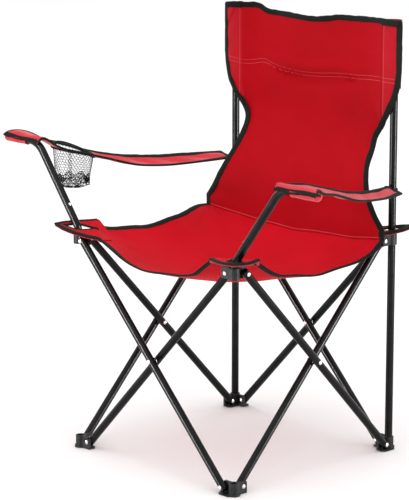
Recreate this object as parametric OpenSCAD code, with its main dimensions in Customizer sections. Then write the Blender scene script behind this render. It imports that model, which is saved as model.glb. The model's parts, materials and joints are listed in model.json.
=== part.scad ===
// Folding camp chair. Four pairs of crossed tubes join four moulded feet to four upper fittings.
// Two rear uprights carry the back, two bent posts carry the arms, and the cloth seat is slung between.
// Millimetres, +Z up, the front is -Y, and the origin is at the centre of the footprint on the floor.
// Side 0 is the front, and sides and corners are numbered counterclockwise seen from above:
// corner 0 front right, 1 front left, 2 rear left, 3 rear right, right and left being the sitter's.

/* [Frame] */
// Distance between neighbouring socket axes when the chair stands open
frame_w = 400; // [380:2:430]
// Height of the pins where the crossed tubes meet the upper fittings
hub_pin_z = 392; // [375:1:410]
// Height of the top of the rear uprights
upright_top = 780; // [760:2:800]
// Distance of each pin from its socket axis, along the side
pin_in = 20; // [20:0.5:24]

/* [Tubes and rivets] */
// Outer diameter of every tube
tube_d = 14; // [13:0.25:14.5]
// Wall thickness of every tube
tube_wall = 1; // [0.8:0.1:1.5]
// Thickness of the spacer between two crossed tubes
spacer_t = 1.5; // [1:0.25:2]
// Rivet shank diameter
rivet_d = 6; // [4:0.5:6]
// Rivet head diameter
rivet_head_d = 8; // [7:0.5:9]

/* [Moulded fittings] */
// Height of a foot
foot_h = 22; // [20:1:26]
// Height of the pins in the feet
foot_pin_z = 12.5; // [12.5:0.5:14]
// Height of an upper fitting
hub_h = 20.5; // [20:0.5:24]
// Outer radius of the round socket
socket_r = 9.3; // [9.2:0.1:9.5]

/* [Cloth] */
// Height of the slung corners of the seat
seat_corner_z = 406; // [406:0.5:408]
// Height of the lowest point along the middle of the seat
seat_low_z = 332; // [320:1:345]
// Height of the lowest point along the seat's left edge
seat_left_z = 357; // [350:1:370]
// Height of the lowest point along the seat's right edge
seat_right_z = 391; // [370:1:395]
// Half width of the back at its narrow waist
back_waist = 165; // [150:1:175]
// Height of an arm at its rear end
arm_rear_z = 488; // [480:1:500]
// Rise of an arm from its rear end to its front end
arm_rise = 78; // [70:1:84]
// Thickness of the cloth solids
cloth_t = 3; // [2:0.5:4]

/* [Cup holder] */
// Radius of the cup holder at its mouth
cup_mouth_r = 38; // [36:0.5:40]
// Radius of the cup holder at its base
cup_base_r = 34; // [30:0.5:36]
// Depth of the cup holder below its rim
cup_depth = 74; // [50:1:80]

/* [Hidden] */
$fn = 48;
half_w = frame_w / 2;
tube_r = tube_d / 2;
bore_r = tube_r - tube_wall;
hole_r = rivet_d / 2 + 0.05;
head_r = rivet_head_d / 2;
head_t = 1.8;

// The two tubes of one side lie in two planes, one on each side of the plane of the socket axes.
tube_off = tube_r + spacer_t / 2;
tube_run = frame_w - 2 * pin_in;
tube_rise = hub_pin_z - foot_pin_z;
tube_len = sqrt(tube_run * tube_run + tube_rise * tube_rise);
tube_lean = atan(tube_run / tube_rise);
tube_end = 7;

// An ear stands beside a tube end, and its near face is a small gap from the tube.
gap = 0.3;
ear_t = 5;
ear_face = tube_off - tube_r - gap;
ear_len = pin_in + 7.5;
fixed_r = tube_r + 0.1;
swivel_r = tube_r + 0.06;
slide_r = tube_r + 0.4;
socket_slack = 0.05;
floor_t = 2;
hub_z0 = hub_pin_z - 8.5;
hub_top = hub_z0 + hub_h;
post_z0 = hub_z0 + 2.5;

// Arm post: each step is [length, 0] for a straight stretch or [bend radius, angle from the last].
lower_bend = asin(0.6);
upper_bend = asin(0.8);
post_steps = [[hub_top - post_z0, 0], [20, lower_bend], [152, 0], [45, upper_bend], [55, 0]];
join = 0.002;
post_plug = 5;
screw_up = 40;

// Cloth outlines.
panel_top = upright_top + 8;
seam_y = 168;
cut_back = 30;
cut_sum = frame_w - cut_back * sqrt(2);
patch_z = max(seat_corner_z - cloth_t / 2, hub_top + 0.5);
pocket_z0 = 628;
pocket_half = 178;
hem_r = tube_r + 2.4;
arm_y0 = -half_w + hem_r + 1;
arm_y1 = half_w - 14;
cup_x = half_w + 116;
cup_y = -110;

// ---- Placing ----

module on_side(i) {
  rotate([0, 0, 90 * i]) children();
}

// At a corner, +X runs along the side that starts there and +Y along the side that ends there.
module at_corner(i) {
  on_side(i) translate([-half_w, -half_w, 0]) children();
}

// Swaps X and Y, so that what is made along +X lies along +Y.
module swapped() {
  mirror([1, -1, 0]) children();
}

// ---- Rivets ----

// Rivet along +Y, with its shank from y0 to y1 and a domed head on each end.
module rivet(y0, y1) {
  translate([0, y0, 0]) rotate([-90, 0, 0]) cylinder(h = y1 - y0, d = rivet_d);
  translate([0, y0, 0]) rotate([90, 0, 0]) rivet_head(head_r, head_t);
  translate([0, y1, 0]) rotate([-90, 0, 0]) rivet_head(head_r, head_t);
}

module rivet_head(r, t) {
  ball_r = (r * r + t * t) / (2 * t);
  rotate_extrude() intersection() {
    translate([0, t - ball_r]) circle(r = ball_r);
    square([r, t]);
  }
}

// The two rivets of one fitting: one holds an inner tube along +X, the other an outer tube along +Y.
module fitting_rivets(z) {
  color("silver") {
    translate([pin_in, 0, z]) rivet(ear_face - ear_t, tube_off + tube_r + gap);
    swapped() translate([pin_in, 0, z]) rivet(-tube_off - tube_r - gap, ear_t - ear_face);
  }
}

module centre_rivet() {
  reach = tube_off + tube_r + 0.05;
  translate([0, -half_w, foot_pin_z + tube_rise / 2]) {
    color("silver") rivet(-reach, reach);
    color("dimgray") rotate([90, 0, 0]) difference() {
      cylinder(h = spacer_t - 0.2, r = head_r + 1.5, center = true);
      cylinder(h = spacer_t, r = hole_r, center = true);
    }
  }
}

// ---- Tubes ----

// Straight tube drilled for a pin near each end and for the rivet in its middle.
module cross_tube() {
  color("#161616") difference() {
    translate([0, 0, -tube_end]) cylinder(h = tube_len + 2 * tube_end, r = tube_r);
    translate([0, 0, -tube_end - 1]) cylinder(h = tube_len + 2 * tube_end + 2, r = bore_r);
    for (z = [0, tube_len / 2, tube_len])
      translate([0, 0, z]) rotate([90, 0, 0]) cylinder(h = tube_d + 2, r = hole_r, center = true);
  }
}

module inner_tube() {
  translate([-half_w + pin_in, -half_w + tube_off, foot_pin_z]) rotate([0, tube_lean, 0]) cross_tube();
}

module outer_tube() {
  translate([half_w - pin_in, -half_w - tube_off, foot_pin_z]) rotate([0, -tube_lean, 0]) cross_tube();
}

module upright() {
  color("#161616") translate([0, 0, floor_t]) difference() {
    cylinder(h = upright_top - floor_t, r = tube_r);
    translate([0, 0, -1]) cylinder(h = upright_top + 2, r = bore_r);
  }
}

module tube_plug() {
  color("#222222") {
    translate([0, 0, -12]) cylinder(h = 12, r = bore_r - 0.1);
    cylinder(h = 2, r = tube_r);
    translate([0, 0, 2]) rivet_head(tube_r, 2.5);
  }
}

// ---- Bent arm posts ----

// Moves children from the start of a step to its end. Bends turn the heading from +Z towards +X.
module after_step(step) {
  angle = step[1];
  side = sign(angle);
  if (angle == 0)
    translate([0, 0, step[0]]) children();
  else
    translate([side * step[0] * (1 - cos(angle)), 0, side * step[0] * sin(angle)])
      rotate([0, angle, 0]) children();
}

module after_steps(steps, count) {
  if (count == 0)
    children();
  else
    after_steps(steps, count - 1) after_step(steps[count - 1]) children();
}

// Solid round bar along one step. A straight one starts a hair early, so that it joins its bend.
module bar_step(step, r) {
  angle = abs(step[1]);
  if (angle == 0)
    translate([0, 0, -join]) cylinder(h = step[0] + join, r = r);
  else
    mirror([step[1] < 0 ? 1 : 0, 0, 0]) translate([step[0], 0, 0]) mirror([1, 0, 0])
      rotate([90, 0, 0]) rotate_extrude(angle = angle, $fn = 360)
        translate([step[0], 0]) circle(r = r, $fn = 48);
}

module bent_tube(steps) {
  for (i = [0 : len(steps) - 1]) after_steps(steps, i) difference() {
    bar_step(steps[i], tube_r);
    bar_step(steps[i], bore_r);
  }
}

// Frame of a right or left arm post: on the axis of its hub, with +X pointing out to the side.
module at_post(right) {
  mirror([right ? 1 : 0, 0, 0]) translate([half_w, -half_w, post_z0]) children();
}

module arm_post(right) {
  color("#161616") at_post(right) bent_tube(post_steps);
}

module post_plug(right) {
  at_post(right) after_steps(post_steps, len(post_steps)) tube_plug();
}

// Small screw head on the inner side of a post's straight stretch, a little above its lower bend.
module post_screw(right) {
  color("silver") at_post(right) after_steps(post_steps, 2) translate([0, 0, screw_up])
    rotate([0, -90, 0]) translate([0, 0, tube_r]) rivet_head(3.2, 1.6);
}

// Sewn pocket at the front of an arm: a sleeve over the end of the post, with a web to the arm.
module arm_hem(right) {
  last = len(post_steps) - 1;
  color("#d8182c") at_post(right) after_steps(post_steps, last) difference() {
    union() {
      translate([0, 0, 4]) cylinder(h = post_steps[last][0] + post_plug, r = hem_r);
      translate([-hem_r, 0, 4]) cube([cloth_t, hem_r + 0.5, post_steps[last][0] + post_plug]);
    }
    translate([0, 0, 3]) cylinder(h = post_steps[last][0] + post_plug, r = tube_r + 0.3);
  }
}

// ---- Moulded feet, hubs and sliders ----

// Ear along +X: on the outer side of an inner tube (side = -1) or the inner side of an outer tube.
module ear(side, h) {
  translate([0, side < 0 ? ear_face - ear_t : -ear_face, 0]) {
    cube([ear_len - 4, ear_t, h]);
    translate([ear_len - 4, 0, 0]) cube([4, ear_t, h - 2]);
  }
}

// Wall between socket and ear, on the side away from the tube, seen from above.
module gusset(side, h) {
  web = pin_in - 6;
  linear_extrude(h) polygon([[0, side * socket_r], [web, side * 1.5], [web, 0], [0, 0]]);
}

module fitting_body(h) {
  cylinder(h = h, r = socket_r);
  ear(-1, h);
  gusset(-1, h - 2);
  swapped() {
    ear(1, h);
    gusset(1, h - 2);
  }
}

module pin_holes(z) {
  translate([pin_in, 0, z]) rotate([90, 0, 0]) cylinder(h = 12, r = hole_r, center = true);
  translate([0, pin_in, z]) rotate([0, 90, 0]) cylinder(h = 12, r = hole_r, center = true);
}

// Two short slots in the outer wall of the socket.
module mould_recesses(z) {
  for (a = [200, 250]) rotate([0, 0, a]) translate([socket_r - 0.8, -1, z]) cube([2, 2, 6]);
}

module sole(side) {
  low = side < 0 ? ear_face - ear_t : -tube_off - tube_r;
  high = side < 0 ? tube_off + tube_r : ear_t - ear_face;
  r = (high - low) / 2;
  translate([0, low, 0]) cube([pin_in - 1, high - low, floor_t]);
  translate([pin_in - 1, low + r, 0]) cylinder(h = floor_t, r = r);
}

module foot() {
  color("#1c1c1c") difference() {
    union() {
      fitting_body(foot_h);
      cylinder(h = 4, r = socket_r + 2);
      sole(-1);
      swapped() sole(1);
    }
    translate([0, 0, floor_t]) cylinder(h = foot_h, r = fixed_r);
    pin_holes(foot_pin_z);
    mould_recesses(8);
  }
}

// Upper fitting, which is a foot's body seen in a mirror, with a blind or a through socket.
module upper_fitting(slides) {
  color("#1c1c1c") translate([0, 0, hub_z0]) difference() {
    swapped() fitting_body(hub_h);
    if (slides)
      translate([0, 0, -4]) cylinder(h = hub_h + 5, r = slide_r);
    else
      translate([0, 0, post_z0 - hub_z0 - socket_slack]) cylinder(h = hub_h, r = swivel_r);
    pin_holes(hub_pin_z - hub_z0);
    mould_recesses(7);
  }
}

// ---- Cloth ----

function blend(a, b, t) = let (k = min(1, max(0, t))) a + (b - a) * k * k * (3 - 2 * k);

// Closed solid between two grids of points, each of (n + 1) x (m + 1) points.
module slab(upper, lower, n, m) {
  count = (n + 1) * (m + 1);
  function at(i, j) = i * (m + 1) + j;
  tiles = [for (i = [0 : n - 1], j = [0 : m - 1]) [at(i, j), at(i + 1, j), at(i + 1, j + 1), at(i, j + 1)]];
  rim = concat(
    [for (i = [0 : n - 1]) at(i, 0)], [for (j = [0 : m - 1]) at(n, j)],
    [for (i = [n : -1 : 1]) at(i, m)], [for (j = [m : -1 : 1]) at(0, j)]);
  top = [for (t = tiles, f = [[t[0], t[1], t[2]], [t[0], t[2], t[3]]]) [f[2], f[1], f[0]]];
  bottom = [for (t = tiles, f = [[t[0], t[1], t[2]], [t[0], t[2], t[3]]]) [for (k = f) k + count]];
  sides = [for (k = [0 : len(rim) - 1]) let (a = rim[k], b = rim[(k + 1) % len(rim)])
    each [[a, b, b + count], [a, b + count, a + count]]];
  polyhedron(concat(upper, lower), concat(top, bottom, sides), convexity = 4);
}

// Heights of the seat: along its middle and edges, across from edge to edge, and with raised corners.
function dip(low, y0, curl, y) = low + curl * pow(y - y0, 2);
function mid_z(y) = dip(seat_low_z, -37, 0.00127, y);
function edge_z(x, y) = x < 0 ? dip(seat_right_z, -37, 0.0002, y) : dip(seat_left_z, 10, 0.0013, y);
function slung_z(x, y) = edge_z(x, y) + (mid_z(y) - edge_z(x, y)) * (1 - pow(x / half_w, 2));
function seat_z(x, y) = let (corner = cut_sum / 2)
  slung_z(x, y) + (seat_corner_z - slung_z(sign(x) * corner, sign(y) * corner))
  * pow((abs(x) + abs(y)) / cut_sum, 12);

// One quarter of the seat, cut off square across its slung corner.
module seat_quarter(sx, sy) {
  n = 10;
  reach = sy < 0 ? half_w : seam_y;
  inner = 0.3;
  cut = cut_sum - 0.8;
  grid = [for (i = [0 : n], j = [0 : n])
    let (x = max(inner, half_w * i / n), y = max(inner, reach * j / n), f = min(1, cut / (x + y)))
    [sx * max(inner, x * f), sy * max(inner, y * f)]];
  upper = [for (p = grid) [p[0], p[1], seat_z(p[0], p[1]) + cloth_t / 2]];
  lower = [for (p = grid) [p[0], p[1], seat_z(p[0], p[1]) - cloth_t / 2]];
  flip = sx * sy > 0;
  color("#d8182c") slab(flip ? lower : upper, flip ? upper : lower, n, n);
}

// Corner patch: along its diagonal it runs from an outer tip to the seat, with a hole for the tube.
module corner_patch() {
  tip = 44;
  color("#d8182c") rotate([0, 0, 45]) translate([0, 0, patch_z]) linear_extrude(cloth_t) difference() {
    polygon([[-tip, 0], [-20, 15], [4, 24], [cut_back, 30], [cut_back, -30], [4, -24], [-20, -15]]);
    polygon([[-14, 6], [-6, 13], [6, 13], [26, 2], [26, -2], [6, -13], [-6, -13], [-14, -6]]);
  }
}

// Half width of the back and how far it stands forward of the uprights, at a height.
function back_half(z) = z > 565 ? blend(back_waist, 221, (z - 565) / 115)
  : blend(back_waist, 235, (565 - z) / 150);
function back_y(z) = half_w - 44 * blend(0, 1, (610 - z) / 150);
function seam_z(s) = 386 + 36 * pow(abs(s), 3);

module back_panel() {
  n = 16;
  m = 18;
  grid = [for (i = [0 : n], j = [0 : m])
    let (s = 2 * i / n - 1, z = seam_z(s) + (panel_top - 3 - seam_z(s)) * j / m,
      half = z > 590 ? min(back_half(z), pocket_half) : back_half(z))
    [s * half, back_y(z) + 14 * (1 - s * s) * sin(180 * j / m), z]];
  front = [for (p = grid) p - [0, cloth_t / 2, 0]];
  rear = [for (p = grid) p + [0, cloth_t / 2, 0]];
  color("#c4101f") slab(front, rear, n, m);
}

// Sleeve sewn into a side of the back, closed over the top of its upright.
module back_pocket(right) {
  outer_r = tube_r + 2.5;
  edge = half_w - pocket_half - 0.5;
  color("#c4101f") mirror([right ? 1 : 0, 0, 0]) translate([half_w, half_w, 0]) difference() {
    translate([0, 0, pocket_z0]) linear_extrude(panel_top - pocket_z0) union() {
      translate([-edge + outer_r - 4, -outer_r]) square([edge * 2 - outer_r + 4, outer_r * 2]);
      translate([-edge, -outer_r]) square([outer_r, outer_r * 2]);
      translate([edge, 0]) circle(r = outer_r);
    }
    translate([0, 0, pocket_z0 - 1]) cylinder(h = upright_top + 6 - pocket_z0, r = tube_r + 0.3);
  }
}

function arm_t(y) = (half_w - y) / frame_w;
function arm_z(y) = arm_rear_z + arm_rise * pow(max(0, arm_t(y)), 2.3);
function arm_inner(y) = 196 + 102 * arm_t(y);
function arm_outer(y) = 228 + 162 * arm_t(y);

// Sloping arm cloth, its own inner and outer edges straight when seen from above.
module arm_cloth() {
  n = 16;
  m = 4;
  grid = [for (i = [0 : n], j = [0 : m])
    let (y = arm_y0 + (arm_y1 - arm_y0) * i / n)
    [arm_inner(y) + (arm_outer(y) - arm_inner(y)) * j / m, y, arm_z(y)]];
  upper = [for (p = grid) p + [0, 0, cloth_t / 2]];
  lower = [for (p = grid) p - [0, 0, cloth_t / 2]];
  color("#e0404e") slab(lower, upper, n, m);
}

module left_armrest() {
  arm_cloth();
}

module right_armrest() {
  mirror([1, 0, 0]) difference() {
    arm_cloth();
    translate([cup_x, cup_y, 0]) cylinder(h = 800, r = cup_mouth_r + 2.5);
  }
}

// Strap loop that ties the rear end of an arm round its upright.
module arm_loop(right) {
  color("#262a28") mirror([right ? 1 : 0, 0, 0]) translate([half_w, half_w, arm_rear_z - 14]) difference() {
    union() {
      cylinder(h = 18, r = tube_r + 2.5);
      translate([0, -13, 12.5]) cube([26, 13, cloth_t]);
    }
    translate([0, 0, -1]) cylinder(h = 20, r = tube_r + 0.1);
  }
}

// ---- Cup holder ----

module at_cup() {
  translate([-cup_x, cup_y, arm_z(cup_y) - cup_depth]) children();
}

module cup_rim() {
  color("#262a28") at_cup() translate([0, 0, cup_depth]) rotate_extrude() difference() {
    translate([cup_mouth_r - 1.5, -4]) square([3.5, 9]);
    translate([cup_mouth_r - 2, -5]) square([2, 3]);
  }
}

// Open mesh pouch, thin-walled, with a slightly rounded base.
module cup_mesh() {
  wall = 1.2;
  color("#2a2a2a") at_cup() rotate_extrude() difference() {
    cup_outline(0);
    translate([0, wall]) cup_outline(wall);
  }
}

module cup_outline(inset) {
  edge_r = 4;
  top_z = cup_depth - 4.5;
  corner = [cup_base_r - edge_r - inset, edge_r];
  rounded = [for (a = [-90 : 15 : 0]) corner + edge_r * [cos(a), sin(a)]];
  polygon(concat([[0, 0]], rounded, [[cup_mouth_r - 2.2 - inset, top_z], [0, top_z]]));
}

// ---- Assembly ----

at_corner(0) foot();  // front_right_foot
at_corner(1) foot();  // front_left_foot
at_corner(2) foot();  // rear_left_foot
at_corner(3) foot();  // rear_right_foot
at_corner(0) fitting_rivets(foot_pin_z);  // front_right_foot_rivets
at_corner(1) fitting_rivets(foot_pin_z);  // front_left_foot_rivets
at_corner(2) fitting_rivets(foot_pin_z);  // rear_left_foot_rivets
at_corner(3) fitting_rivets(foot_pin_z);  // rear_right_foot_rivets

at_corner(0) upper_fitting(false);  // front_right_hub
at_corner(1) upper_fitting(false);  // front_left_hub
at_corner(2) upper_fitting(true);  // rear_left_slider
at_corner(3) upper_fitting(true);  // rear_right_slider
at_corner(0) swapped() fitting_rivets(hub_pin_z);  // front_right_hub_rivets
at_corner(1) swapped() fitting_rivets(hub_pin_z);  // front_left_hub_rivets
at_corner(2) swapped() fitting_rivets(hub_pin_z);  // rear_left_slider_rivets
at_corner(3) swapped() fitting_rivets(hub_pin_z);  // rear_right_slider_rivets

on_side(0) inner_tube();  // front_inner_tube
on_side(1) inner_tube();  // left_inner_tube
on_side(2) inner_tube();  // rear_inner_tube
on_side(3) inner_tube();  // right_inner_tube
on_side(0) outer_tube();  // front_outer_tube
on_side(1) outer_tube();  // left_outer_tube
on_side(2) outer_tube();  // rear_outer_tube
on_side(3) outer_tube();  // right_outer_tube
on_side(0) centre_rivet();  // front_centre_rivet
on_side(1) centre_rivet();  // left_centre_rivet
on_side(2) centre_rivet();  // rear_centre_rivet
on_side(3) centre_rivet();  // right_centre_rivet

at_corner(2) upright();  // rear_left_upright
at_corner(3) upright();  // rear_right_upright
at_corner(2) translate([0, 0, upright_top]) tube_plug();  // rear_left_top_plug
at_corner(3) translate([0, 0, upright_top]) tube_plug();  // rear_right_top_plug

arm_post(true);  // right_arm_post
arm_post(false);  // left_arm_post
post_plug(true);  // right_post_plug
post_plug(false);  // left_post_plug
post_screw(true);  // right_post_screw
post_screw(false);  // left_post_screw
arm_hem(true);  // right_arm_hem
arm_hem(false);  // left_arm_hem
right_armrest();
left_armrest();
arm_loop(true);  // right_arm_loop
arm_loop(false);  // left_arm_loop
cup_rim();
cup_mesh();

back_panel();
back_pocket(true);  // right_back_pocket
back_pocket(false);  // left_back_pocket
seat_quarter(-1, -1);  // front_right_seat
seat_quarter(1, -1);  // front_left_seat
seat_quarter(1, 1);  // rear_left_seat
seat_quarter(-1, 1);  // rear_right_seat
at_corner(0) corner_patch();  // front_right_patch
at_corner(1) corner_patch();  // front_left_patch
at_corner(2) corner_patch();  // rear_left_patch
at_corner(3) corner_patch();  // rear_right_patch
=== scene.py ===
"""Looks of a folding camp chair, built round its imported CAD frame.

Metres, +Z up. The front is -Y, and +X is the sitter's left.
"""

import json
import math
import random
from functools import partial

import bmesh
import bpy
import numpy as np
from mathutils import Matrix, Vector


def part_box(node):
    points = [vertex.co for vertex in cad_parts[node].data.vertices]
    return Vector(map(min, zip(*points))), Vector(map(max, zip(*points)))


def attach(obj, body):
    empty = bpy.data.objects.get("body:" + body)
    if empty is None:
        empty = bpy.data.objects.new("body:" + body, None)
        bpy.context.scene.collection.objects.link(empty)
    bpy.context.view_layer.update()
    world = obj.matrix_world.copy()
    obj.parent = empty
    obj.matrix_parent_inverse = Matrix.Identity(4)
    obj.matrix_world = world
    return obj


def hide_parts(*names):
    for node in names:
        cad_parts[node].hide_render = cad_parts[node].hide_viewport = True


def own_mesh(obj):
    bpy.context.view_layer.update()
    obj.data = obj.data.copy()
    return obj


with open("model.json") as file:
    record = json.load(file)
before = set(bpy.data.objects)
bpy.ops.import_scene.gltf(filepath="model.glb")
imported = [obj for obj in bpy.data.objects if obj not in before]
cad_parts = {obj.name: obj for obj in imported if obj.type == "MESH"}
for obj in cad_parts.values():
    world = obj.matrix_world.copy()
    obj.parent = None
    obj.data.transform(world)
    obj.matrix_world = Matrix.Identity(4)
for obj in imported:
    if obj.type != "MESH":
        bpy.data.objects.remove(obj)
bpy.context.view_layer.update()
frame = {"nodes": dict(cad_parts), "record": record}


# ---- Places from the frame ----

def centre(node):
    """Middle of a CAD node's box."""
    low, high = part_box(node)
    return np.array((low + high) / 2)


TUBE_R = (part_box("rear_left_upright")[1].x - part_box("rear_left_upright")[0].x) / 2
HALF = centre("rear_left_upright")[0]
HUB_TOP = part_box("front_left_hub")[1].z
POST_TOP = centre("left_post_plug")[2] + TUBE_R + 0.0026
CUP = centre("cup_rim")

CLOTH_T = 0.0014
TAPE_W = 0.0115
TAPE_T = 0.0036
TAPE_OVERHANG = 0.0012
LOOP_R = TUBE_R + 0.0017
LOOP_W = 0.0145
POCKET_X = 0.176  # where the middle of the back meets its sleeves
SLEEVE_X = 0.2215  # outer edge of the sleeves
CUT_BACK = 0.030  # how far the seat's corners are cut back along their diagonals
REAR_Y = 0.157  # rear seam of the seat
SIDES = {"right": -1, "left": 1}


# ---- Curves and shapes as numbers ----

def smooth(t):
    """Step that eases from 0 to 1."""
    t = np.clip(t, 0, 1)
    return t * t * (3 - 2 * t)


def bump(t):
    """Round hump, 1 at t = 0 and 0 at t = -1 and 1."""
    return np.cos(np.clip(t, -1, 1) * math.pi / 2) ** 2


def through(knots, x):
    """Smooth curve through a few (x, value) knots, flat beyond the ends."""
    xs, ys = (np.array(v, float) for v in zip(*knots))
    slope = np.gradient(ys, xs)
    x = np.clip(x, xs[0], xs[-1])
    i = np.clip(np.searchsorted(xs, x, side="right") - 1, 0, len(xs) - 2)
    h = xs[i + 1] - xs[i]
    t = (x - xs[i]) / h
    return (
        ys[i] * (1 + 2 * t) * (1 - t) ** 2
        + h * slope[i] * t * (1 - t) ** 2
        + ys[i + 1] * t * t * (3 - 2 * t)
        + h * slope[i + 1] * t * t * (t - 1)
    )


def unit(v):
    return v / np.maximum(np.linalg.norm(v, axis=-1, keepdims=True), 1e-12)


def steps_along(points):
    """Distance along a line of points, from its first one."""
    return np.concatenate([[0], np.cumsum(np.linalg.norm(np.diff(points, axis=0), axis=1))])


def evenly(points, step):
    """The same line of points, spaced about step apart."""
    points = np.asarray(points, float)
    at = steps_along(points)
    count = max(2, int(round(at[-1] / step)) + 1)
    new = np.linspace(0, at[-1], count)
    return np.stack([np.interp(new, at, points[:, k]) for k in range(3)], 1)


# ---- Meshes ----

def make(name, verts, faces, material, weave=None, sharp=50):
    """Object from vertices and faces, with its weave coordinates as an attribute."""
    mesh = bpy.data.meshes.new(name)
    mesh.from_pydata([tuple(map(float, v)) for v in verts], [], [tuple(map(int, f)) for f in faces])
    mesh.validate()
    shell = bmesh.new()
    shell.from_mesh(mesh)
    bmesh.ops.recalc_face_normals(shell, faces=shell.faces)
    shell.to_mesh(mesh)
    shell.free()
    if weave is not None:
        attribute = mesh.attributes.new("weave", "FLOAT_VECTOR", "POINT")
        attribute.data.foreach_set("vector", np.asarray(weave, np.float32).ravel())
    mesh.shade_smooth()
    mesh.set_sharp_from_angle(angle=math.radians(sharp))
    mesh.materials.append(material)
    obj = bpy.data.objects.new(name, mesh)
    bpy.context.scene.collection.objects.link(obj)
    return obj


def area_of(grid):
    """Area of a grid of points."""
    a = grid[1:, 1:] - grid[:-1, :-1]
    b = grid[1:, :-1] - grid[:-1, 1:]
    return float(np.linalg.norm(np.cross(a, b), axis=-1).sum() / 2)


def normals_of(grid):
    return unit(np.cross(np.gradient(grid, axis=0), np.gradient(grid, axis=1)))


def cloth(name, grid, material, thick=CLOTH_T):
    """Thin closed sheet whose middle surface is a grid of points, with its area kept as a property."""
    n, m = grid.shape[:2]
    normal = normals_of(grid)
    half = normal * thick / 2
    verts = np.concatenate([(grid + half).reshape(-1, 3), (grid - half).reshape(-1, 3)])
    index = np.arange(n * m).reshape(n, m)
    upper = np.stack([index[:-1, :-1], index[1:, :-1], index[1:, 1:], index[:-1, 1:]], -1).reshape(-1, 4)
    rim = np.concatenate([index[:, 0], index[-1, 1:], index[-2::-1, -1], index[0, -2:0:-1]])
    after = np.roll(rim, -1)
    edge = np.stack([after, rim, rim + n * m, after + n * m], -1)
    faces = np.concatenate([upper, upper[:, ::-1] + n * m, edge])
    along = np.linalg.norm(np.diff(grid, axis=0), axis=-1).mean(1)
    across = np.linalg.norm(np.diff(grid, axis=1), axis=-1).mean(0)
    u, v = np.concatenate([[0], np.cumsum(along)]), np.concatenate([[0], np.cumsum(across)])
    flat = np.stack([np.repeat(u, m), np.tile(v, n), np.zeros(n * m)], 1)
    obj = make(name, verts, faces, material, np.concatenate([flat, flat]))
    longest = [np.linalg.norm(np.diff(grid, axis=k), axis=-1).sum(k).max() for k in (0, 1)]
    obj["flat_size"] = [float(d) for d in longest]
    obj["flat_area"] = min(area_of(grid), float(longest[0] * longest[1]))
    return obj


def swept(name, path, across, section, material, closed=False, sharp=50):
    """Section of (across, out) offsets, swept along a path with its across direction given at each point."""
    path, across = np.asarray(path, float), np.asarray(across, float)
    if closed:
        tangent = np.roll(path, -1, axis=0) - np.roll(path, 1, axis=0)
    else:
        tangent = np.gradient(path, axis=0)
    tangent = unit(tangent)
    across = unit(across - (across * tangent).sum(1, keepdims=True) * tangent)
    out = np.cross(tangent, across)
    section = np.asarray(section, float)
    if section.ndim == 2:
        section = np.repeat(section[None], len(path), 0)
    n, m = section.shape[:2]
    verts = path[:, None] + section[..., :1] * across[:, None] + section[..., 1:] * out[:, None]
    index = np.arange(n * m).reshape(n, m)
    ahead = np.roll(index, -1, axis=0) if closed else index[1:]
    here = index if closed else index[:-1]
    corners = [here, ahead, np.roll(ahead, -1, axis=1), np.roll(here, -1, axis=1)]
    faces = np.stack(corners, -1).reshape(-1, 4).tolist()
    if not closed:
        faces += [index[0].tolist(), index[-1, ::-1].tolist()]
    long = steps_along(path)
    wide = steps_along(np.pad(section[0], ((0, 0), (0, 1))))
    weave = np.stack([np.repeat(long, m), np.tile(wide, n), np.ones(n * m)], 1)
    return make(name, verts.reshape(-1, 3), faces, material, weave, sharp)


def oval(width, thick, count=12, power=0.75, shift=0.0):
    """Flat rounded section, width across and thick out, moved across by shift."""
    a = np.arange(count) * 2 * math.pi / count
    c, s = np.cos(a), np.sin(a)
    return np.stack([
        np.sign(c) * np.abs(c) ** power * width / 2 + shift,
        np.sign(s) * np.abs(s) ** power * thick / 2,
    ], 1)


def tape(name, edge, outward, material, width=TAPE_W, thick=TAPE_T, seed=0, wave=0.0006):
    """Binding folded over the edge of a sheet: outward points away from the sheet along the edge."""
    edge, outward = np.asarray(edge, float), unit(np.asarray(outward, float))
    fine = evenly(edge, 0.004)
    at, new = steps_along(edge), steps_along(fine)
    out = unit(np.stack([np.interp(new, at, outward[:, k]) for k in range(3)], 1))
    rng = random.Random(seed)
    phases = [rng.uniform(0, 2 * math.pi) for _ in range(4)]
    lengths = (0.031, 0.047, 0.083, 0.019)
    ripple = sum(np.sin(new * 2 * math.pi / l + p) for l, p in zip(lengths, phases)) / 4
    path = fine + out * (ripple[:, None] * wave)
    widths = width * (1 + 0.10 * ripple)
    section = np.stack([oval(w, thick, shift=TAPE_OVERHANG - w / 2) for w in widths])
    return swept(name, path, out, section, material)


def stitches(name, line, normal, material, pitch=0.0045, length=0.0028, radius=0.00035, lift=0.0):
    """Row of short sewn stitches along a line, lying on a sheet whose normal is given at each point."""
    line, normal = np.asarray(line, float), unit(np.asarray(normal, float))
    at = steps_along(line)
    verts, faces = [], []
    for k in range(int(at[-1] / pitch)):
        where = (k + 0.5) * pitch
        ends = [where - length / 2, where - length / 4, where + length / 4, where + length / 2]
        points = np.stack([np.interp(ends, at, line[:, i]) for i in range(3)], 1)
        up = unit(np.array([np.interp(where, at, normal[:, i]) for i in range(3)]))
        tangent = unit(points[-1] - points[0])
        side = np.cross(up, tangent)
        base = len(verts)
        for point, size, raise_by in zip(points, (0.4, 1, 1, 0.4), (-0.3, 0.3, 0.3, -0.3)):
            for a in range(5):
                turn = a * 2 * math.pi / 5
                offset = (math.cos(turn) * side + math.sin(turn) * up) * radius * size
                verts.append(point + up * (lift + radius * raise_by) + offset)
        for ring in range(3):
            for a in range(5):
                b = (a + 1) % 5
                start = base + ring * 5
                faces.append((start + a, start + b, start + 5 + b, start + 5 + a))
        faces.append([base + a for a in (4, 3, 2, 1, 0)])
        faces.append([base + 15 + a for a in range(5)])
    return make(name, verts, faces, material)


# ---- Materials ----

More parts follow.
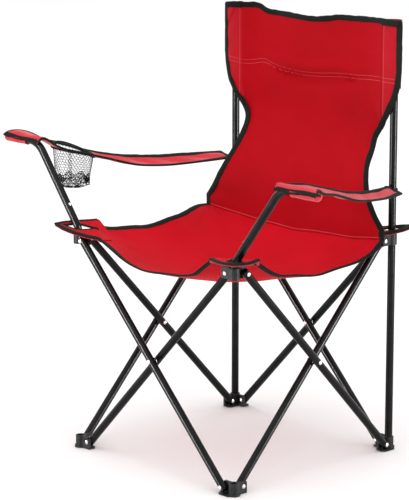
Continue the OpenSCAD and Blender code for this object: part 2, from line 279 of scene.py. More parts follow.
def blank(name):
    material = bpy.data.materials.new(name)
    material.use_nodes = True
    tree = material.node_tree
    tree.nodes.clear()
    shader = tree.nodes.new("ShaderNodeBsdfPrincipled")
    output = tree.nodes.new("ShaderNodeOutputMaterial")
    tree.links.new(shader.outputs[0], output.inputs[0])
    return material, tree, shader


def add(tree, kind, settings=(), **inputs):
    """New node with its settings and input values, where an input may be another node's output."""
    node = tree.nodes.new(kind)
    for key, value in dict(settings).items():
        setattr(node, key, value)
    for key, value in inputs.items():
        socket = node.inputs[int(key[1:])] if key[0] == "i" and key[1:].isdigit() else node.inputs[key]
        if isinstance(value, bpy.types.NodeSocket):
            tree.links.new(value, socket)
        else:
            socket.default_value = value
    return node


def maths(tree, operation, a, b=0.0):
    return add(tree, "ShaderNodeMath", {"operation": operation}, i0=a, i1=b).outputs[0]


def object_noise(tree, scale, detail=3.0, rough=0.5):
    place = add(tree, "ShaderNodeTexCoord").outputs["Object"]
    noise = add(tree, "ShaderNodeTexNoise", {}, Vector=place, Scale=scale, Detail=detail, Roughness=rough)
    return noise.outputs[0]


def ramp(tree, value, low, high, dark, light):
    """Colour that goes from dark to light as value goes from low to high."""
    node = add(tree, "ShaderNodeMapRange", {}, i0=value, i1=low, i2=high)
    ends = {"i6": (*dark, 1), "i7": (*light, 1)}
    mixed = add(tree, "ShaderNodeMix", {"data_type": "RGBA"}, i0=node.outputs[0], **ends)
    return mixed.outputs[2]


def between(tree, value, low, high, a, b):
    return add(tree, "ShaderNodeMapRange", {}, i0=value, i1=low, i2=high, i3=a, i4=b).outputs[0]


def woven_height(tree, pitch):
    """Height of a plain weave whose threads are pitch apart, from the weave coordinates."""
    place = add(tree, "ShaderNodeAttribute", {"attribute_name": "weave"}).outputs["Vector"]
    split = add(tree, "ShaderNodeSeparateXYZ", {}, i0=place)
    waves = []
    for axis in (0, 1):
        turn = maths(tree, "MULTIPLY", split.outputs[axis], 2 * math.pi / pitch)
        waves.append(maths(tree, "SINE", turn))
    crossed = maths(tree, "MULTIPLY", waves[0], waves[1])
    ridges = maths(tree, "ADD", maths(tree, "ABSOLUTE", waves[0]), maths(tree, "ABSOLUTE", waves[1]))
    return maths(tree, "ADD", maths(tree, "MULTIPLY", crossed, 0.5), maths(tree, "MULTIPLY", ridges, 0.35))


def fabric(name, deep, bright, pitch, rough, sheen, tint, bump_depth):
    """Woven polyester: weave relief, faint slubs along the threads and slow changes of shade."""
    material, tree, shader = blank(name)
    weave = woven_height(tree, pitch)
    slow = object_noise(tree, 9, 4.0)
    fine = object_noise(tree, 240, 2.0)
    shade = maths(tree, "ADD", maths(tree, "MULTIPLY", slow, 0.75), maths(tree, "MULTIPLY", fine, 0.25))
    shade = maths(tree, "ADD", shade, maths(tree, "MULTIPLY", weave, 0.10))
    tree.links.new(ramp(tree, shade, 0.30, 0.75, deep, bright), shader.inputs["Base Color"])
    tree.links.new(between(tree, fine, 0.3, 0.7, rough - 0.06, rough + 0.06), shader.inputs["Roughness"])
    shader.inputs["Sheen Weight"].default_value = sheen
    shader.inputs["Sheen Roughness"].default_value = 0.35
    shader.inputs["Sheen Tint"].default_value = (*tint, 1)
    shader.inputs["Specular IOR Level"].default_value = 0.06
    relief = maths(tree, "ADD", weave, maths(tree, "MULTIPLY", object_noise(tree, 60, 3.0), 1.6))
    bumped = add(tree, "ShaderNodeBump", {}, Height=relief, Distance=bump_depth, Strength=0.5)
    tree.links.new(bumped.outputs[0], shader.inputs["Normal"])
    return material


def painted(name, colour, rough):
    """Gloss paint over steel tube, with orange peel and faint rubbing."""
    material, tree, shader = blank(name)
    wide = object_noise(tree, 35, 5.0, 0.6)
    light = tuple(c * 2.0 + 0.002 for c in colour)
    tree.links.new(ramp(tree, wide, 0.42, 0.80, colour, light), shader.inputs["Base Color"])
    tree.links.new(between(tree, wide, 0.35, 0.75, rough, rough + 0.08), shader.inputs["Roughness"])
    shader.inputs["Specular IOR Level"].default_value = 0.16
    peel = object_noise(tree, 420, 2.0)
    bumped = add(tree, "ShaderNodeBump", {}, Height=peel, Distance=0.00008, Strength=0.25)
    tree.links.new(bumped.outputs[0], shader.inputs["Normal"])
    return material


def moulded(name, colour, rough):
    """Satin moulded plastic with a fine spark-eroded grain."""
    material, tree, shader = blank(name)
    grain = object_noise(tree, 900, 2.0)
    wide = object_noise(tree, 60, 3.0)
    light = tuple(c * 1.9 + 0.003 for c in colour)
    shader.inputs["Specular IOR Level"].default_value = 0.18
    tree.links.new(ramp(tree, wide, 0.35, 0.75, colour, light), shader.inputs["Base Color"])
    tree.links.new(between(tree, wide, 0.3, 0.7, rough - 0.05, rough + 0.08), shader.inputs["Roughness"])
    bumped = add(tree, "ShaderNodeBump", {}, Height=grain, Distance=0.00012, Strength=0.35)
    tree.links.new(bumped.outputs[0], shader.inputs["Normal"])
    return material


def plated(name, colour, rough):
    """Bright nickel plate with faint smudges."""
    material, tree, shader = blank(name)
    smudge = object_noise(tree, 300, 4.0)
    shader.inputs["Metallic"].default_value = 1.0
    dark = tuple(c * 0.8 for c in colour)
    tree.links.new(ramp(tree, smudge, 0.3, 0.7, dark, colour), shader.inputs["Base Color"])
    tree.links.new(between(tree, smudge, 0.3, 0.7, rough, rough + 0.15), shader.inputs["Roughness"])
    return material


ROSE = (1, 0.6, 0.62)
PALE_ROSE = (1, 0.72, 0.74)
THREAD_ROSE = (1, 0.8, 0.8)
GREY_GREEN = (0.6, 0.7, 0.65)
GREY = (0.6, 0.6, 0.6)
CLOTH_PITCH = 0.0011
# Each cloth: name, deep and bright shades, thread pitch, roughness, sheen and its tint, relief depth.
BACK_RED = fabric(
    "back_cloth", (0.43, 0.0015, 0.006), (0.53, 0.003, 0.011), CLOTH_PITCH, 0.65, 0.04, ROSE, 0.0004)
# Sleeve cloth: the back's red painted lighter and pinker, as painted sheen.
SLEEVE_RED_PAINTED_SHEEN = fabric(
    "sleeve_cloth", (0.47, 0.006, 0.014), (0.58, 0.012, 0.024), CLOTH_PITCH, 0.62, 0.12, ROSE, 0.0004)
# Seat cloth: the back's red painted lighter, as painted light for the light that falls on the seat from
# above.
SEAT_RED_PAINTED_LIT = fabric(
    "seat_cloth", (0.56, 0.002, 0.010), (0.68, 0.004, 0.016), CLOTH_PITCH, 0.65, 0.04, ROSE, 0.0004)
# Arm cloth: red painted lighter and pinker, as painted sheen where the tops are seen at a grazing angle, on
# top of the shader's own sheen.
ARM_RED_PAINTED_SHEEN = fabric(
    "arm_cloth", (0.58, 0.020, 0.036), (0.74, 0.050, 0.070), CLOTH_PITCH, 0.58, 0.55, PALE_ROSE, 0.0004)
TAPE_BLACK = fabric(
    "binding", (0.006, 0.008, 0.007), (0.020, 0.025, 0.022), 0.0016, 0.65, 0.06, GREY_GREEN, 0.0005)
NET_BLACK = fabric(
    "net", (0.008, 0.008, 0.008), (0.03, 0.03, 0.03), 0.0010, 0.7, 0.0, GREY, 0.0001)
RED_THREAD = fabric(
    "red_thread", (0.80, 0.14, 0.16), (0.90, 0.26, 0.28), 0.0006, 0.6, 0.2, THREAD_ROSE, 0.0001)
PAINT = painted("black_paint", (0.0012, 0.0012, 0.0014), 0.20)
PLASTIC = moulded("moulded_black", (0.006, 0.006, 0.0065), 0.42)
PLUG = moulded("end_plug", (0.010, 0.010, 0.010), 0.45)
NICKEL = plated("nickel", (0.86, 0.84, 0.80), 0.14)


# ---- The CAD parts that stay ----

def finish_cad():
    """Materials and small edge rounding for the CAD parts that are shown as they are."""
    by_slot = {"black_paint": PAINT, "moulded_black": PLASTIC, "end_plug": PLUG, "nickel": NICKEL,
               "black_binding": TAPE_BLACK}
    slots = {part["node"]: part["material_slot"] for part in frame["record"]["subparts"]}
    for node, obj in frame["nodes"].items():
        if slots[node] in by_slot:
            obj.data.materials.clear()
            obj.data.materials.append(by_slot[slots[node]])
        if slots[node] == "moulded_black":
            bevel = obj.modifiers.new("edges", "BEVEL")
            bevel.width = 0.0006
            bevel.segments = 2
            bevel.limit_method = "ANGLE"
            bevel.angle_limit = math.radians(40)


# ---- The seat ----

SEAT_Y = {-1: -HALF, 1: REAR_Y}
# Knots of the seat: heights against x along its front edge and rear seam, and against y along its sides.
MID_SAG = 0.332
MID_CURL = 1.27
LOWEST_Y = -0.037
FRONT_EDGE = [(-0.20, 0.405), (-0.17, 0.405), (-0.136, 0.395), (-0.109, 0.384), (-0.087, 0.374),
              (-0.041, 0.3625), (0.029, 0.3655), (0.075, 0.370), (0.100, 0.377), (0.123, 0.394),
              (0.145, 0.4095), (0.17, 0.4135), (0.20, 0.4135)]
LEFT_EDGE = [(-0.20, 0.412), (-0.17, 0.411), (-0.141, 0.403), (-0.122, 0.391), (-0.100, 0.378),
             (-0.044, 0.3665), (0.013, 0.3575), (0.058, 0.362), (0.109, 0.371), (0.137, 0.382),
             (REAR_Y, 0.399)]
RIGHT_EDGE = [(-0.20, 0.413), (-0.165, 0.410), (-0.120, 0.401), (-0.069, 0.396), (-0.037, 0.392),
              (0.000, 0.394), (0.026, 0.398), (0.060, 0.400), (0.092, 0.402), (0.130, 0.404),
              (REAR_Y, 0.402)]
SEAM = [(-0.235, 0.400), (-0.200, 0.396), (-0.147, 0.392), (-0.096, 0.388), (-0.049, 0.386),
        (0.003, 0.384), (0.042, 0.387), (0.090, 0.389), (0.154, 0.391), (0.200, 0.397), (0.235, 0.401)]


def seat_width(x_sign, y):
    """How far out the seat's side edge stands: it flares towards the back."""
    return HALF + (0.034 if x_sign < 0 else 0.020) * smooth((y - 0.03) / 0.125)


def slung(x, y):
    """Height of the seat between its middle and its side edges."""
    middle = MID_SAG + MID_CURL * (y - LOWEST_Y) ** 2
    edge = np.where(x < 0, through(RIGHT_EDGE, y), through(LEFT_EDGE, y))
    return middle + (edge - middle) * (np.abs(x) / HALF) ** 2.1


def seat_height(x, y):
    """Slung height of the seat, met with its front edge, its rear seam and the pull of its corners."""
    z = slung(x, y)
    at_front = 1 - smooth((np.abs(x) / HALF - 0.92) / 0.08)
    z = z + (through(FRONT_EDGE, x) - slung(x, -HALF)) * np.exp(-((y + HALF) / 0.045) ** 2) * at_front
    z = z + (through(SEAM, x * 1.165) - slung(x, REAR_Y)) * smooth((y - 0.085) / (REAR_Y - 0.085))
    for cx, cy in ((-1, -1), (1, -1), (1, 1), (-1, 1)):
        dx, dy = HALF - cx * x, HALF - cy * y
        far = np.hypot(dx, dy)
        turn = np.arctan2(dy, dx)
        z = z + 0.0016 * np.sin(turn * 15 + cx) * smooth((far - 0.045) / 0.05) * np.exp(-far / 0.09)
    return z


def seat_grid(cx, cy, n=44):
    """Points of one quarter of the seat, cut off across its slung corner."""
    i, j = np.meshgrid(np.linspace(0, 1, n + 1), np.linspace(0, 1, n + 1), indexing="ij")
    cut = 2 * HALF - CUT_BACK * math.sqrt(2)
    x, y = HALF * i, abs(SEAT_Y[cy]) * j
    share = np.minimum(1, cut / np.maximum(x + y, 1e-9))
    x, y = cx * x * share, cy * y * share
    return np.stack([x * seat_width(cx, y) / HALF, y, seat_height(x, y)], -1)


def hinge_down(obj, body):
    """A seat quarter rides on its hinged body, with a mesh of its own."""
    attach(obj, body)
    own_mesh(obj)
    return obj


def build_seat():
    for row, cy in (("front", -1), ("rear", 1)):
        for side, cx in SIDES.items():
            node = f"{row}_{side}_seat"
            # Seat quarter in the seat red, which is painted lighter for light from above.
            piece = cloth(f"{node}_cloth", seat_grid(cx, cy), SEAT_RED_PAINTED_LIT)
            hinge_down(piece, node)
            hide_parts(node)
            trims = seat_trim(node, cx, cy)
            for trim, slot in trims:
                hinge_down(trim, node)


def seat_trim(node, cx, cy):
    """Bindings of a seat quarter, each with its slot."""
    grid = seat_grid(cx, cy)
    n = grid.shape[0] - 1
    made = []
    side_edge = grid[n, :, :]
    side_out = grid[n, :, :] - grid[n - 1, :, :]
    reach = HALF * (0.85 if cy > 0 else 0.73)
    keep = np.abs(side_edge[:, 1]) < reach
    side = tape(f"{node}_side_binding", side_edge[keep], side_out[keep], TAPE_BLACK, seed=cx + 3 * cy)
    made.append((side, "black_binding"))
    if cy < 0:
        front_edge = grid[:, n, :]
        front_out = grid[:, n, :] - grid[:, n - 1, :]
        keep = np.abs(front_edge[:, 0]) < reach
        front = tape(f"{node}_front_binding", front_edge[keep], front_out[keep], TAPE_BLACK, seed=cx)
        made.append((front, "black_binding"))
    return made


# ---- Corner tabs ----

# Outline of a corner tab on one side of its diagonal, as (along, across) points: along runs inward.
TAB = {
    "front": [(-0.044, 0.0), (-0.028, 0.0150), (-0.008, 0.0270), (0.012, 0.0350), (CUT_BACK, 0.0415),
              (0.0430, 0.0430), (0.052, 0.028), (0.060, 0.010)],
    "rear": [(-0.044, 0.0), (-0.021, 0.0165), (0.004, 0.0240), (CUT_BACK, 0.024), (0.052, 0.018)],
}
# How many of those points its binding runs over, from the tip.
TAB_BOUND = {"front": 6, "rear": 4}
TAB_HOLE = [(-0.027, 0.0), (-0.006, 0.0118), (0.006, 0.0112), (0.034, 0.0)]
# Height at the fitting, rise towards the tip, and slope across the diagonal.
TAB_LIE = {"front_right": (0.4105, 0.009, 0.20), "front_left": (0.4120, 0.008, 0.02),
           "rear_left": (0.4080, 0.011, -0.04), "rear_right": (0.4080, 0.010, 0.0)}


def tab_points(row, side, flat):
    """Points of a corner tab from (along, across) pairs on its diagonal and square to it."""
    cx, cy = SIDES[side], -1 if row == "front" else 1
    base, tip_rise, tilt = TAB_LIE[f"{row}_{side}"]
    along, across = np.asarray(flat, float).T
    inward = np.array([-cx, -cy]) / math.sqrt(2)
    aside = np.array([-inward[1], inward[0]])
    place = np.array([cx, cy]) * HALF + along[:, None] * inward + across[:, None] * aside
    rise = tip_rise * np.clip((CUT_BACK - along) / 0.074, 0, 1) ** 1.5
    over_hub = base + rise + tilt * across
    x, y = place.T
    if row == "front":
        on_seat = seat_height(x, np.clip(y, -HALF, HALF)) + 0.0016
    else:
        on_seat = through(SEAM, x) - 0.006
    mix = smooth((along - CUT_BACK) / 0.014)
    return np.column_stack([place, over_hub * (1 - mix) + on_seat * mix])


def both_sides(half_outline):
    return np.array(half_outline + [(a, -b) for a, b in half_outline[::-1] if abs(b) > 1e-9])


def outline(half_outline, count):
    """Closed outline from its points on one side of the diagonal, evenly spaced."""
    points = both_sides(half_outline)
    closed = np.column_stack([np.concatenate([points, points[:1]]), np.zeros(len(points) + 1)])
    at = steps_along(closed)
    new = np.linspace(0, at[-1], count + 1)[:-1]
    return np.stack([np.interp(new, at, closed[:, 0]), np.interp(new, at, closed[:, 1])], 1)


def build_tabs():
    """Sewn tab at each corner of the seat, with a bound slot round the tube that stands in the fitting."""
    count = 96
    for row, cy in (("front", -1), ("rear", 1)):
        for side in SIDES:
            node = f"{row}_{side}_patch"
            body = f"{row}_{side}_hub" if cy < 0 else f"{row}_{side}_slider"
            outer, inner = outline(TAB[row], count), outline(TAB_HOLE, count)
            rings = [tab_points(row, side, outer + (inner - outer) * k) for k in np.linspace(0, 1, 7)]
            grid = np.array(rings).transpose(1, 0, 2)
            grid = np.concatenate([grid, grid[:1]])
            # Tab in the seat red, which is painted lighter for light from above.
            piece = cloth(f"{node}_cloth", grid, SEAT_RED_PAINTED_LIT, thick=0.0020)
            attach(piece, body)
            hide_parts(node)
            half = TAB[row][:TAB_BOUND[row]]
            far = half[1:-1] if node == "front_right_patch" else half[1:]
            ends = np.array([(a, -b) for a, b in half[::-1]] + far)
            path = evenly(np.column_stack([ends, np.zeros(len(ends))]), 0.003)[:, :2]
            edge = tab_points(row, side, path)
            inside = tab_points(row, side, path * 0.9 + [0.002, 0])
            rim = tape(f"{node}_binding", edge, edge - inside, TAPE_BLACK,
                       width=0.0085, thick=0.0040, wave=0.0003)
            hole = grid[:-1, -1]
            middle = hole.mean(0)
            slot_section = oval(0.0048, 0.0040, shift=0.0008)
            slot_rim = swept(f"{node}_slot_binding", hole, hole - middle, slot_section, TAPE_BLACK,
                             closed=True)
            # Fold under the tab's binding: seat cloth drawn in the arm red, as painted sheen along the tab's
            # rim.
            fold_section = oval(0.0060, 0.0014, shift=-0.003)
            under = swept(f"{node}_fold", edge - [0, 0, 0.0036], edge - middle, fold_section, ARM_RED_PAINTED_SHEEN)
            for trim, slot in ((rim, "black_binding"), (slot_rim, "black_binding"), (under, "seat_cloth")):
                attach(trim, body)


# ---- The back ----

# Knots of the back: heights of its top edge and head band against x, half widths against height,
# and how far its layers stand in front of and behind the middle of the uprights, against x.
TOP_EDGE = [(-0.222, 0.784), (-0.205, 0.787), (-0.166, 0.789), (-0.137, 0.789), (-0.119, 0.782),
            (-0.085, 0.780), (-0.040, 0.778), (-0.005, 0.777), (0.035, 0.781), (0.062, 0.786),
            (0.09, 0.787), (0.17, 0.790), (0.222, 0.790)]
BAND = [(-0.222, 0.686), (-0.16, 0.681), (-0.127, 0.686), (-0.1, 0.678), (-0.05, 0.672), (0.0, 0.673),
        (0.05, 0.678), (0.11, 0.681), (0.17, 0.685), (0.222, 0.685)]
BACK_EDGE = [(0.420, 0.2330), (0.440, 0.2180), (0.473, 0.1980), (0.500, 0.1835), (0.526, 0.1725),
             (0.553, 0.1665), (0.577, 0.1670), (0.596, 0.1790), (0.616, 0.1935), (0.640, 0.2080),
             (0.665, 0.2170), (0.695, SLEEVE_X)]
LEFT_BACK_EDGE = [(0.420, 0.2190), (0.440, 0.2030), (0.473, 0.1840), (0.500, 0.1725),
                  (0.526, 0.1655)] + BACK_EDGE[5:]
FRONT_WRAP = [(0.135, 0.0), (0.160, 0.0035), (0.176, 0.0072), (0.190, 0.0094), (0.200, 0.0099),
              (0.210, 0.0092), (0.2225, 0.0062)]
REAR_WRAP = [(0.174, -0.0055), (0.185, 0.0025), (0.193, 0.0082), (0.200, 0.0102), (0.207, 0.0084),
             (0.214, 0.0010), (0.219, -0.0045)]
SEAM_HALF = 0.233
WAIST_TOP = 0.578
SLEEVE_FULL = 0.695
SLEEVE_REAR_Z = 0.668
SIDE_TAPE_TOP = 0.606
BAND_ROWS = (0.000, 0.007)
# Groups of puckers under the head band: middle and reach.
PUCKERS = ((-0.074, 0.056), (0.083, 0.030))


def back_half(z, side):
    """Half width of the back at a height: its lower part is narrower on the sitter's left (side = 1)."""
    return np.where(side > 0, through(LEFT_BACK_EDGE, z), through(BACK_EDGE, z))


def edge_height(x):
    """Height at which the back's edge, above its waist, stands x out from the middle."""
    z = np.linspace(WAIST_TOP, SLEEVE_FULL, 200)
    return np.interp(x, back_half(z, -1), z)


def back_forward(z):
    """How far the back stands forward of the plane of the uprights."""
    return 0.044 * smooth((0.610 - z) / 0.150)


def front_layer(x, z):
    """Front surface of the back between the waist and the top, wrapped round the uprights at the sides."""
    y = HALF - back_forward(z) - through(FRONT_WRAP, np.abs(x)) * smooth((z - 0.575) / 0.05)
    y = y + 0.0085 * np.exp(-((z - through(BAND, x) + 0.014) / 0.012) ** 2) * bump(x / 0.17)
    return y - 0.0045 * np.exp(-((z - through(BAND, x) - 0.012) / 0.010) ** 2) * bump(x / 0.19)


def back_point(s, t):
    """Point of the back: s runs across from -1 to 1, and t runs from the seat seam up to the top edge."""
    seam = through(SEAM, s * SEAM_HALF)
    z = seam + (through(TOP_EDGE, s * POCKET_X) - seam) * t
    half = np.where(z > 0.57, np.minimum(back_half(z, s), POCKET_X), back_half(z, s))
    x = s * half
    y = front_layer(x, z) + 0.012 * (1 - s * s) * np.sin(math.pi * t)
    for middle, reach in PUCKERS:
        drop = (z - through(BAND, x) + 0.008) / 0.007
        ripple = np.sin((x + 0.5 * (z - 0.68)) * 480)
        y = y + 0.0042 * ripple * np.exp(-drop ** 2) * bump((x - middle) / reach)
    waist = np.exp(-((z - 0.60) / 0.05) ** 2) * smooth((np.abs(s) - 0.45) / 0.5)
    hips = np.exp(-((z - 0.43) / 0.04) ** 2) * smooth((np.abs(s) - 0.5) / 0.4)
    y = y + 0.0016 * np.sin(x * 95 + z * 40) * waist + 0.0012 * np.sin(z * 120 + x * 30) * hips
    return np.stack([x, y, z], -1)


def sleeve_front(cx, r, t):
    """Front layer of a sleeve: r runs out from under the back to the bound edge, t runs up."""
    x = POCKET_X - 0.003 + (SLEEVE_X - POCKET_X + 0.003) * r
    low = edge_height(x)
    z = low + (through(TOP_EDGE, cx * x) - low) * t
    tucked = 0.0014 * (1 - smooth((x - POCKET_X + 0.001) / 0.003))
    wrinkle = 0.0009 * np.sin(z * 150 + x * 60 + cx) * bump((x - HALF) / 0.022)
    return np.stack([cx * x, front_layer(cx * x, z) + tucked - wrinkle, z], -1)


def sleeve_rear(cx, r, t):
    """Rear layer of a sleeve: r runs out and t runs up."""
    z = SLEEVE_REAR_Z + (through(TOP_EDGE, cx * (POCKET_X + r * 0.045)) - SLEEVE_REAR_Z) * t
    x = POCKET_X - 0.002 + (np.minimum(back_half(z, cx), SLEEVE_X) - 0.003 - POCKET_X + 0.002) * r
    wrinkle = 0.0010 * np.sin(z * 130 - x * 70 + cx) * bump((x - HALF) / 0.022)
    return np.stack([cx * x, HALF + through(REAR_WRAP, x) + wrinkle, z], -1)


def fold_in(obj):
    """A piece of the middle of the back rides on the rear right body, with a mesh of its own."""
    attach(obj, "rear_right")
    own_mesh(obj)
    return obj


def seam_rows(name, surface, a, b, **sizes):
    """Stitches along parameter lines of a surface, on its front."""
    points, normal = on_surface(surface, a, b)
    normal = -normal * np.sign(normal[:, 1:2])
    return stitches(name, points + normal * (CLOTH_T / 2), normal, RED_THREAD, **sizes)


def on_surface(surface, a, b, step=0.002):
    """Points and normals of a surface along given parameter lines."""
    p = surface(a, b)
    pa = surface(a + step, b) - p
    pb = surface(a, b + step) - p
    return p, unit(np.cross(pa, pb))


def build_back():
    s, t = np.meshgrid(np.linspace(-1, 1, 81), np.linspace(0, 1, 97), indexing="ij")
    panel = cloth("back_cloth", back_point(s, t), BACK_RED)
    fold_in(panel)
    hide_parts("back_panel")
    trims = []
    line = np.linspace(0, 1, 200)
    for side, cx in SIDES.items():
        low = through(SEAM, cx * SEAM_HALF)
        z = low + (SIDE_TAPE_TOP - low) * line
        x = cx * back_half(z, cx)
        edge = np.stack([x, front_layer(x, z), z], 1)
        out = np.cross(np.gradient(edge, axis=0), [0, -cx, 0])
        trims.append(tape(f"back_{side}_binding", edge, out, TAPE_BLACK,
                          width=0.0125, thick=0.0044, seed=cx + 7))
    wide = np.linspace(-1, 1, 200)
    top = back_point(wide, np.ones_like(wide))
    top_out = top - back_point(wide, np.full_like(wide, 0.98))
    trims.append(tape("back_top_binding", top, top_out, TAPE_BLACK,
                      width=0.0108, thick=0.0046, seed=5, wave=0.0008))
    for trim in trims:
        fold_in(trim)
    seams = []
    for k, drop in enumerate(BAND_ROWS):
        row = np.linspace(-0.985, 0.985, 260)
        x = row * POCKET_X
        target = through(BAND, x) - drop
        seam = through(SEAM, row * SEAM_HALF)
        height = (target - seam) / (through(TOP_EDGE, x) - seam)
        seams.append(seam_rows(f"head_band_seam_{k}", back_point, row, height))
    row = np.linspace(-0.99, 0.99, 260)
    seams.append(seam_rows("seat_seam", back_point, row, np.full_like(row, 0.010), radius=0.0006))
    for seam_piece in seams:
        fold_in(seam_piece)


def build_sleeves():
    r, t = np.meshgrid(np.linspace(0, 1, 29), np.linspace(0, 1, 61), indexing="ij")
    line = np.linspace(0, 1, 120)
    one, none = np.ones_like(line), np.zeros_like(line)
    for side, cx in SIDES.items():
        body = f"rear_{side}"
        # Sleeve layers in the back's red with painted sheen.
        front = cloth(f"{side}_sleeve", sleeve_front(cx, r, t), SLEEVE_RED_PAINTED_SHEEN)
        rear = cloth(f"{side}_sleeve_rear", sleeve_rear(cx, r, t), SLEEVE_RED_PAINTED_SHEEN)
        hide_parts(f"{side}_back_pocket")
        outer = SLEEVE_X - POCKET_X + 0.003
        first = 0.003 / outer
        along = first + (1 - first) * line
        under = sleeve_front(cx, along, none)
        edge = sleeve_front(cx, one, line)
        over = sleeve_front(cx, along, one)[::-1]
        path = np.concatenate([under, edge[1:], over[1:]])
        outward = unit(np.cross(np.gradient(path, axis=0), [0, -cx, 0])) + [0, 0.25, 0]
        trims = [tape(f"{side}_sleeve_binding", path, outward, TAPE_BLACK,
                      width=0.0120, thick=0.0046, seed=cx + 30)]
        surface = partial(sleeve_front, cx)
        seams = [seam_rows(f"{side}_sleeve_seam", surface, none + 0.17, line * 0.94 + 0.02)]
        for k, drop in enumerate(BAND_ROWS):
            x = POCKET_X + 0.040 * line
            low = edge_height(x)
            height = (through(BAND, cx * x) - drop - low) / (through(TOP_EDGE, cx * x) - low)
            across = (x - POCKET_X + 0.003) / outer
            seams.append(seam_rows(f"{side}_sleeve_band_seam_{k}", surface, across, height))
        u, v = np.meshgrid(np.linspace(0, 1, 13), np.linspace(0, 1, 13), indexing="ij")
        corner = sleeve_front(cx, 0.80 - 0.42 * u * (1 - v), 0.955 - 0.22 * v)
        corner[..., 1] -= 0.0013
        # Corner patch in the same red with painted sheen.
        patch = cloth(f"{side}_corner_patch", corner, SLEEVE_RED_PAINTED_SHEEN, thick=0.0009)
        seams.append(patch)
        slots = [(piece, "back_cloth") for piece in [front, rear] + seams]
        slots += [(piece, "black_binding") for piece in trims]
        for piece, slot in slots:
            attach(piece, body)


# ---- The arms ----

# Heights of the inner and outer edges of each arm, against y.
ARM_EDGES = {
    "right": {
        "inner": [(-0.205, 0.562), (-0.152, 0.538), (-0.127, 0.530), (-0.09, 0.520), (-0.054, 0.509),
                  (-0.01, 0.496), (0.037, 0.490), (0.127, 0.489), (0.190, 0.490)],
        "outer": [(-0.205, 0.570), (-0.164, 0.560), (-0.139, 0.546), (-0.112, 0.538), (-0.060, 0.519),
                  (-0.019, 0.509), (0.060, 0.500), (0.116, 0.499), (0.190, 0.498)],
    },
    "left": {
        "inner": [(-0.205, 0.562), (-0.163, 0.557), (-0.116, 0.549), (-0.070, 0.537), (-0.022, 0.524),
                  (0.020, 0.512), (0.100, 0.497), (0.150, 0.492), (0.190, 0.490)],
        "outer": [(-0.205, 0.566), (-0.160, 0.551), (-0.123, 0.543), (-0.085, 0.532), (-0.020, 0.512),
                  (0.040, 0.500), (0.092, 0.492), (0.157, 0.484), (0.190, 0.482)],
    },
}
ARM_FRONT, ARM_BACK = -0.2085, 0.190
CUP_HOLE_R = 0.0375


def arm_width(y):
    """How far out an arm's inner and outer edges stand: it widens towards the front."""
    t = (HALF - y) / (2 * HALF)
    return 0.194 + 0.104 * t, 0.228 + 0.162 * t


def arm_point(side, a, b):
    """Point of an arm's cloth: a runs from front to rear, b from the inner edge to the outer one."""
    cx = SIDES[side]
    y = ARM_FRONT + (ARM_BACK - ARM_FRONT) * a
    inner, outer = arm_width(y)
    x = inner + (outer - inner) * b + 0.005 * b * np.exp(-((y + 0.2085) / 0.008) ** 2)
    edges = ARM_EDGES[side]
    z = through(edges["inner"], y) * (1 - b) + through(edges["outer"], y) * b
    sag = 0.0055 * np.sin(math.pi * b) * smooth((y + 0.20) / 0.06) * smooth((0.19 - y) / 0.1)
    z = z + (POST_TOP - z) * np.exp(-((y + HALF) / 0.016) ** 2) * 0.85
    turned_down = 0.0095 * np.clip((-0.197 - y) / 0.0115, 0, 1) ** 2
    creases = 0.0012 * np.sin(y * 110 + b * 5 + cx) * bump(2 * b - 1)
    return np.stack([cx * x, y, z - sag - turned_down + creases], -1)


def swing_arm(obj, side):
    """A piece of an arm swings up with its body, with a mesh of its own."""
    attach(obj, f"{side}_armrest")
    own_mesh(obj)
    return obj


def build_arms():
    a, b = np.meshgrid(np.linspace(0, 1, 91), np.linspace(0, 1, 29), indexing="ij")
    line = np.linspace(0, 1, 160)
    one, none = np.ones_like(line), np.zeros_like(line)
    for side, cx in SIDES.items():
        # Arm cloth in the red with painted sheen.
        piece = cloth(f"{side}_arm_cloth", arm_point(side, a, b), ARM_RED_PAINTED_SHEEN, thick=0.0024)
        if side == "right":
            cut_round(piece)
        swing_arm(piece, side)
        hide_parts(f"{side}_armrest")
        runs = [(line[::-1], none), (none, line), (line, one), (one, line[::-1])]
        edge = np.concatenate([arm_point(side, p, q) for p, q in runs])
        inner = np.concatenate([arm_point(side, 0.02 + 0.96 * p, 0.05 + 0.90 * q) for p, q in runs])
        trims = [tape(f"{side}_arm_binding", edge, edge - inner, TAPE_BLACK, width=0.0105, thick=0.0042,
                      seed=10 * cx, wave=0.0012)]
        for trim in trims:
            swing_arm(trim, side)


def cut_round(piece):
    """Takes a round opening for the cup holder out of a sheet."""
    bpy.ops.mesh.primitive_cylinder_add(vertices=64, radius=CUP_HOLE_R, depth=0.2, location=tuple(CUP))
    cutter = bpy.context.object
    boolean = piece.modifiers.new("hole", "BOOLEAN")
    boolean.operation = "DIFFERENCE"
    boolean.solver = "EXACT"
    boolean.object = cutter
    bpy.context.view_layer.update()
    graph = bpy.context.evaluated_depsgraph_get()
    cut = bpy.data.meshes.new_from_object(piece.evaluated_get(graph))
    piece.modifiers.clear()
    piece.data = cut
    bpy.data.objects.remove(cutter)


